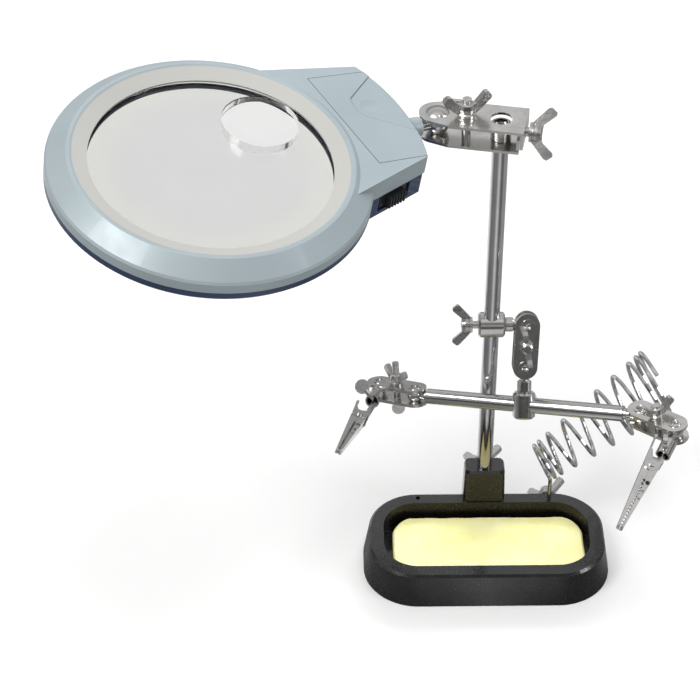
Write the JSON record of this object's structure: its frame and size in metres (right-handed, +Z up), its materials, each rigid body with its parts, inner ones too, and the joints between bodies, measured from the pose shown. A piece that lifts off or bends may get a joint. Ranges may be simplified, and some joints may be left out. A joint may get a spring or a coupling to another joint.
{
  "type": "helping hands clamp",
  "caption": "Bench stand with jointed alligator clips, a spring rest for a soldering iron, a sponge tray and a lit magnifier on a post.",
  "frame": {"origin": "on the ground under the middle of the base", "axes": "+Z up, +X to the right along the base, -Y towards the person working"},
  "size_m": [0.3445, 0.1738, 0.3151],
  "materials": {
    "base_casting": "black enamel over cast iron",
    "sponge": "dry cellulose sponge",
    "base_wing_bolt": "bright nickel plating",
    "iron_holder_wing_bolt": "bright nickel plating",
    "iron_holder_coil": "bright nickel plating",
    "post": "polished plating",
    "post_collar": "bright nickel plating",
    "post_clamp_sleeve": "bright nickel plating",
    "post_clamp_wing_bolt": "bright nickel plating",
    "post_clamp_ball_stud": "bright nickel plating",
    "center_knuckle_front_plate": "bright nickel plating",
    "center_knuckle_rear_plate": "bright nickel plating",
    "center_knuckle_bolt": "bright nickel plating",
    "center_knuckle_wing_nut": "bright nickel plating",
    "rod_clamp_ball_stud": "bright nickel plating",
    "rod_clamp_sleeve": "bright nickel plating",
    "rod_clamp_wing_bolt": "bright nickel plating",
    "arm_rod": "polished plating",
    "left_rod_ball": "bright nickel plating",
    "right_rod_ball": "bright nickel plating",
    "left_knuckle_top_plate": "bright nickel plating",
    "left_knuckle_bottom_plate": "bright nickel plating",
    "left_knuckle_bolt": "bright nickel plating",
    "left_knuckle_wing_nut": "bright nickel plating",
    "left_holder_ball": "bright nickel plating",
    "left_holder_tube": "bright nickel plating",
    "left_thumbscrew": "bright nickel plating",
    "left_clip_fixed_jaw": "bright nickel plating",
    "left_clip_moving_jaw": "bright nickel plating",
    "left_clip_rivet": "bright nickel plating",
    "left_clip_spring": "bright nickel plating",
    "right_knuckle_top_plate": "bright nickel plating",
    "right_knuckle_bottom_plate": "bright nickel plating",
    "right_knuckle_bolt": "bright nickel plating",
    "right_knuckle_wing_nut": "bright nickel plating",
    "right_holder_ball": "bright nickel plating",
    "right_holder_tube": "bright nickel plating",
    "right_thumbscrew": "bright nickel plating",
    "right_clip_fixed_jaw": "bright nickel plating",
    "right_clip_moving_jaw": "bright nickel plating",
    "right_clip_rivet": "bright nickel plating",
    "right_clip_spring": "bright nickel plating",
    "bracket_top_plate": "bright nickel plating",
    "bracket_lower_plate": "bright nickel plating",
    "bracket_clamp_bolt": "bright nickel plating",
    "bracket_wing_nut": "bright nickel plating",
    "bracket_side_wing_bolt": "bright nickel plating",
    "magnifier_ball_stud": "bright nickel plating",
    "magnifier_upper_shell": "silver blue-grey satin",
    "magnifier_lower_shell": "dark navy satin",
    "magnifier_lens": "clear",
    "inset_lens": "clear",
    "battery_lid": "silver blue-grey satin",
    "batteries": "wrapped cells",
    "battery_contacts": "sprung contacts",
    "switch_slider": "black ridged",
    "switch_body": "black",
    "led_board": "circuit board",
    "leds": "clear domes",
    "shell_screws": "bright nickel plating"
  },
  "bodies": {
    "base": {"base_casting": "base_casting", "sponge": "sponge"},
    "base_wing_bolt": {"base_wing_bolt": "base_wing_bolt"},
    "iron_holder_wing_bolt": {"iron_holder_wing_bolt": "iron_holder_wing_bolt"},
    "iron_holder": {"iron_holder_coil": "iron_holder_coil"},
    "post": {"post": "post", "post_collar": "post_collar"},
    "post_clamp": {"post_clamp_sleeve": "post_clamp_sleeve"},
    "post_clamp_wing_bolt": {"post_clamp_wing_bolt": "post_clamp_wing_bolt"},
    "post_clamp_ball": {"post_clamp_ball_stud": "post_clamp_ball_stud"},
    "center_knuckle": {"center_knuckle_front_plate": "center_knuckle_front_plate", "center_knuckle_rear_plate": "center_knuckle_rear_plate", "center_knuckle_bolt": "center_knuckle_bolt"},
    "center_knuckle_wing_nut": {"center_knuckle_wing_nut": "center_knuckle_wing_nut"},
    "rod_clamp_ball": {"rod_clamp_ball_stud": "rod_clamp_ball_stud"},
    "rod_clamp": {"rod_clamp_sleeve": "rod_clamp_sleeve"},
    "rod_clamp_wing_bolt": {"rod_clamp_wing_bolt": "rod_clamp_wing_bolt"},
    "arm_rod": {"arm_rod": "arm_rod"},
    "left_rod_ball": {"left_rod_ball": "left_rod_ball"},
    "left_knuckle": {"left_knuckle_top_plate": "left_knuckle_top_plate", "left_knuckle_bottom_plate": "left_knuckle_bottom_plate", "left_knuckle_bolt": "left_knuckle_bolt"},
    "left_knuckle_wing_nut": {"left_knuckle_wing_nut": "left_knuckle_wing_nut"},
    "left_holder": {"left_holder_ball": "left_holder_ball", "left_holder_tube": "left_holder_tube"},
    "left_thumbscrew": {"left_thumbscrew": "left_thumbscrew"},
    "left_clip": {"left_clip_fixed_jaw": "left_clip_fixed_jaw", "left_clip_rivet": "left_clip_rivet", "left_clip_spring": "left_clip_spring"},
    "left_jaw": {"left_clip_moving_jaw": "left_clip_moving_jaw"},
    "right_rod_ball": {"right_rod_ball": "right_rod_ball"},
    "right_knuckle": {"right_knuckle_top_plate": "right_knuckle_top_plate", "right_knuckle_bottom_plate": "right_knuckle_bottom_plate", "right_knuckle_bolt": "right_knuckle_bolt"},
    "right_knuckle_wing_nut": {"right_knuckle_wing_nut": "right_knuckle_wing_nut"},
    "right_holder": {"right_holder_ball": "right_holder_ball", "right_holder_tube": "right_holder_tube"},
    "right_thumbscrew": {"right_thumbscrew": "right_thumbscrew"},
    "right_clip": {"right_clip_fixed_jaw": "right_clip_fixed_jaw", "right_clip_rivet": "right_clip_rivet", "right_clip_spring": "right_clip_spring"},
    "right_jaw": {"right_clip_moving_jaw": "right_clip_moving_jaw"},
    "bracket": {"bracket_top_plate": "bracket_top_plate", "bracket_lower_plate": "bracket_lower_plate", "bracket_clamp_bolt": "bracket_clamp_bolt"},
    "bracket_wing_nut": {"bracket_wing_nut": "bracket_wing_nut"},
    "bracket_side_wing_bolt": {"bracket_side_wing_bolt": "bracket_side_wing_bolt"},
    "magnifier_ball": {"magnifier_ball_stud": "magnifier_ball_stud"},
    "magnifier": {"magnifier_upper_shell": "magnifier_upper_shell", "magnifier_lower_shell": "magnifier_lower_shell", "magnifier_lens": "magnifier_lens", "inset_lens": "inset_lens", "batteries": "batteries", "battery_contacts": "battery_contacts", "switch_body": "switch_body", "led_board": "led_board", "leds": "leds", "shell_screws": "shell_screws"},
    "battery_lid": {"battery_lid": "battery_lid"},
    "switch": {"switch_slider": "switch_slider"}
  },
  "joints": [
    {"name": "base_wing_bolt_turn", "type": "hinge", "parent": "base", "child": "base_wing_bolt", "pos_m": [0, 0.045, 0.038], "axis": [0, 1, 0], "range_deg": [0, 120]},
    {"name": "iron_holder_wing_bolt_turn", "type": "hinge", "parent": "base", "child": "iron_holder_wing_bolt", "pos_m": [0.0395, 0.04, 0.013], "axis": [0, 1, 0], "range_deg": [0, 120]},
    {"name": "iron_holder_turn", "type": "hinge", "parent": "base", "child": "iron_holder", "pos_m": [0.0395, 0.0311, 0.02], "axis": [0, 0, 1], "range_deg": [-10, 60]},
    {"name": "post_turn", "type": "hinge", "parent": "base", "child": "post", "pos_m": [0, 0.0344, 0.1], "axis": [0, 0, 1], "range_deg": [-20, 20]},
    {"name": "post_clamp_slide", "type": "slide", "parent": "post", "child": "post_clamp", "axis": [0, 0, 1], "range_m": [-0.03, 0.08]},
    {"name": "post_clamp_wing_bolt_turn", "type": "hinge", "parent": "post_clamp", "child": "post_clamp_wing_bolt", "pos_m": [-0.015, 0.0344, 0.1515], "axis": [-1, 0, 0], "range_deg": [0, 120]},
    {"name": "post_clamp_ball_roll", "type": "hinge", "parent": "post_clamp", "child": "post_clamp_ball", "pos_m": [0.0202, 0.0344, 0.1515], "axis": [1, 0, 0], "range_deg": [-15, 4]},
    {"name": "center_knuckle_swing", "type": "hinge", "parent": "post_clamp_ball", "child": "center_knuckle", "pos_m": [0.0202, 0.0344, 0.1515], "axis": [0, -0.8988, 0.4384], "range_deg": [-15, 15]},
    {"name": "center_knuckle_wing_nut_turn", "type": "hinge", "parent": "center_knuckle", "child": "center_knuckle_wing_nut", "pos_m": [0.01957, 0.02915, 0.14073], "axis": [0, -0.8988, 0.4384], "range_deg": [0, 120]},
    {"name": "rod_clamp_swing", "type": "hinge", "parent": "center_knuckle", "child": "rod_clamp_ball", "pos_m": [0.01894, 0.02389, 0.12996], "axis": [0, -0.8988, 0.4384], "range_deg": [-15, 15]},
    {"name": "rod_clamp_turn", "type": "hinge", "parent": "rod_clamp_ball", "child": "rod_clamp", "pos_m": [0.01894, 0.02389, 0.12996], "axis": [0, 0.4384, 0.8988], "range_deg": [-4, 30]},
    {"name": "rod_clamp_wing_bolt_turn", "type": "hinge", "parent": "rod_clamp", "child": "rod_clamp_wing_bolt", "pos_m": [0.02194, 0.02048, 0.10603], "axis": [0.3746, 0.8333, -0.4065], "range_deg": [0, 120]},
    {"name": "arm_rod_slide", "type": "slide", "parent": "rod_clamp", "child": "arm_rod", "axis": [0.9272, -0.3367, 0.1642], "range_m": [-0.02, 0.02]},
    {"name": "left_rod_ball_roll", "type": "hinge", "parent": "arm_rod", "child": "left_rod_ball", "pos_m": [-0.04225, 0.03603, 0.09845], "axis": [-0.9272, 0.3367, -0.1642], "range_deg": [-30, 30]},
    {"name": "left_knuckle_swing", "type": "hinge", "parent": "left_rod_ball", "child": "left_knuckle", "pos_m": [-0.04225, 0.03603, 0.09845], "axis": [-0.067, 0.2823, 0.957], "range_deg": [-30, 30]},
    {"name": "left_knuckle_wing_nut_turn", "type": "hinge", "parent": "left_knuckle", "child": "left_knuckle_wing_nut", "pos_m": [-0.05242, 0.04192, 0.096], "axis": [-0.067, 0.2823, 0.957], "range_deg": [0, 120]},
    {"name": "left_holder_swing", "type": "hinge", "parent": "left_knuckle", "child": "left_holder", "pos_m": [-0.06258, 0.0478, 0.09355], "axis": [-0.067, 0.2823, 0.957], "range_deg": [-30, 2]},
    {"name": "left_thumbscrew_turn", "type": "hinge", "parent": "left_holder", "child": "left_thumbscrew", "pos_m": [-0.0704, 0.0357, 0.10165], "axis": [-0.6512, 0.3684, 0.6635], "range_deg": [0, 120]},
    {"name": "left_clip_turn", "type": "hinge", "parent": "left_holder", "child": "left_clip", "pos_m": [-0.07304, 0.00543, 0.10462], "axis": [-0.2535, -0.9296, 0.2674], "range_deg": [-60, 60]},
    {"name": "left_jaw_open", "type": "hinge", "parent": "left_clip", "child": "left_jaw", "pos_m": [-0.07614, 0.00653, 0.1055], "axis": [-0.3275, -0.1777, -0.928], "range_deg": [0, 10], "stiffness_Nm_per_rad": 0.05, "springref_deg": -11.46},
    {"name": "right_rod_ball_roll", "type": "hinge", "parent": "arm_rod", "child": "right_rod_ball", "pos_m": [0.08199, -0.00908, 0.12045], "axis": [0.9272, -0.3367, 0.1642], "range_deg": [-30, 30]},
    {"name": "right_knuckle_swing", "type": "hinge", "parent": "right_rod_ball", "child": "right_knuckle", "pos_m": [0.08199, -0.00908, 0.12045], "axis": [-0.1642, 0.0287, 0.986], "range_deg": [-30, 30]},
    {"name": "right_knuckle_wing_nut_turn", "type": "hinge", "parent": "right_knuckle", "child": "right_knuckle_wing_nut", "pos_m": [0.09046, -0.01743, 0.12211], "axis": [-0.1642, 0.0287, 0.986], "range_deg": [0, 120]},
    {"name": "right_holder_swing", "type": "hinge", "parent": "right_knuckle", "child": "right_holder", "pos_m": [0.09892, -0.02577, 0.12376], "axis": [-0.1642, 0.0287, 0.986], "range_deg": [-20, 30]},
    {"name": "right_thumbscrew_turn", "type": "hinge", "parent": "right_holder", "child": "right_thumbscrew", "pos_m": [0.0912, -0.04028, 0.12553], "axis": [-0.0874, -0.2493, 0.9645], "range_deg": [0, 120]},
    {"name": "right_clip_turn", "type": "hinge", "parent": "right_holder", "child": "right_clip", "pos_m": [0.08619, -0.04864, 0.11518], "axis": [-0.4674, -0.8447, -0.2607], "range_deg": [-30, 60]},
    {"name": "right_jaw_open", "type": "hinge", "parent": "right_clip", "child": "right_jaw", "pos_m": [0.08322, -0.0473, 0.11615], "axis": [-0.1372, 0.3606, -0.9226], "range_deg": [0, 9], "stiffness_Nm_per_rad": 0.05, "springref_deg": -11.46},
    {"name": "bracket_turn", "type": "hinge", "parent": "post", "child": "bracket", "pos_m": [0, 0.0344, 0.28], "axis": [0, 0, 1], "range_deg": [-40, 40]},
    {"name": "bracket_wing_nut_turn", "type": "hinge", "parent": "bracket", "child": "bracket_wing_nut", "pos_m": [-0.01812, 0.03815, 0.2824], "axis": [0, 0, 1], "range_deg": [0, 120]},
    {"name": "bracket_side_wing_bolt_turn", "type": "hinge", "parent": "bracket", "child": "bracket_side_wing_bolt", "pos_m": [0.01958, 0.03034, 0.2824], "axis": [0.9792, -0.2028, 0], "range_deg": [0, 120]},
    {"name": "magnifier_swing", "type": "hinge", "parent": "bracket", "child": "magnifier_ball", "pos_m": [-0.0332, 0.04127, 0.2824], "axis": [0, 0, 1], "range_deg": [-50, 45]},
    {"name": "magnifier_roll", "type": "hinge", "parent": "magnifier_ball", "child": "magnifier", "pos_m": [-0.0332, 0.04127, 0.2824], "axis": [-0.8995, -0.431, 0.0715], "range_deg": [-15, 15]},
    {"name": "battery_lid_slide", "type": "slide", "parent": "magnifier", "child": "battery_lid", "axis": [0.9287, 0.3608, -0.0855], "range_m": [0, 0.004]},
    {"name": "switch_slide", "type": "slide", "parent": "magnifier", "child": "switch", "axis": [0.7395, 0.673, -0.0147], "range_m": [0, 0.005]}
  ]
}
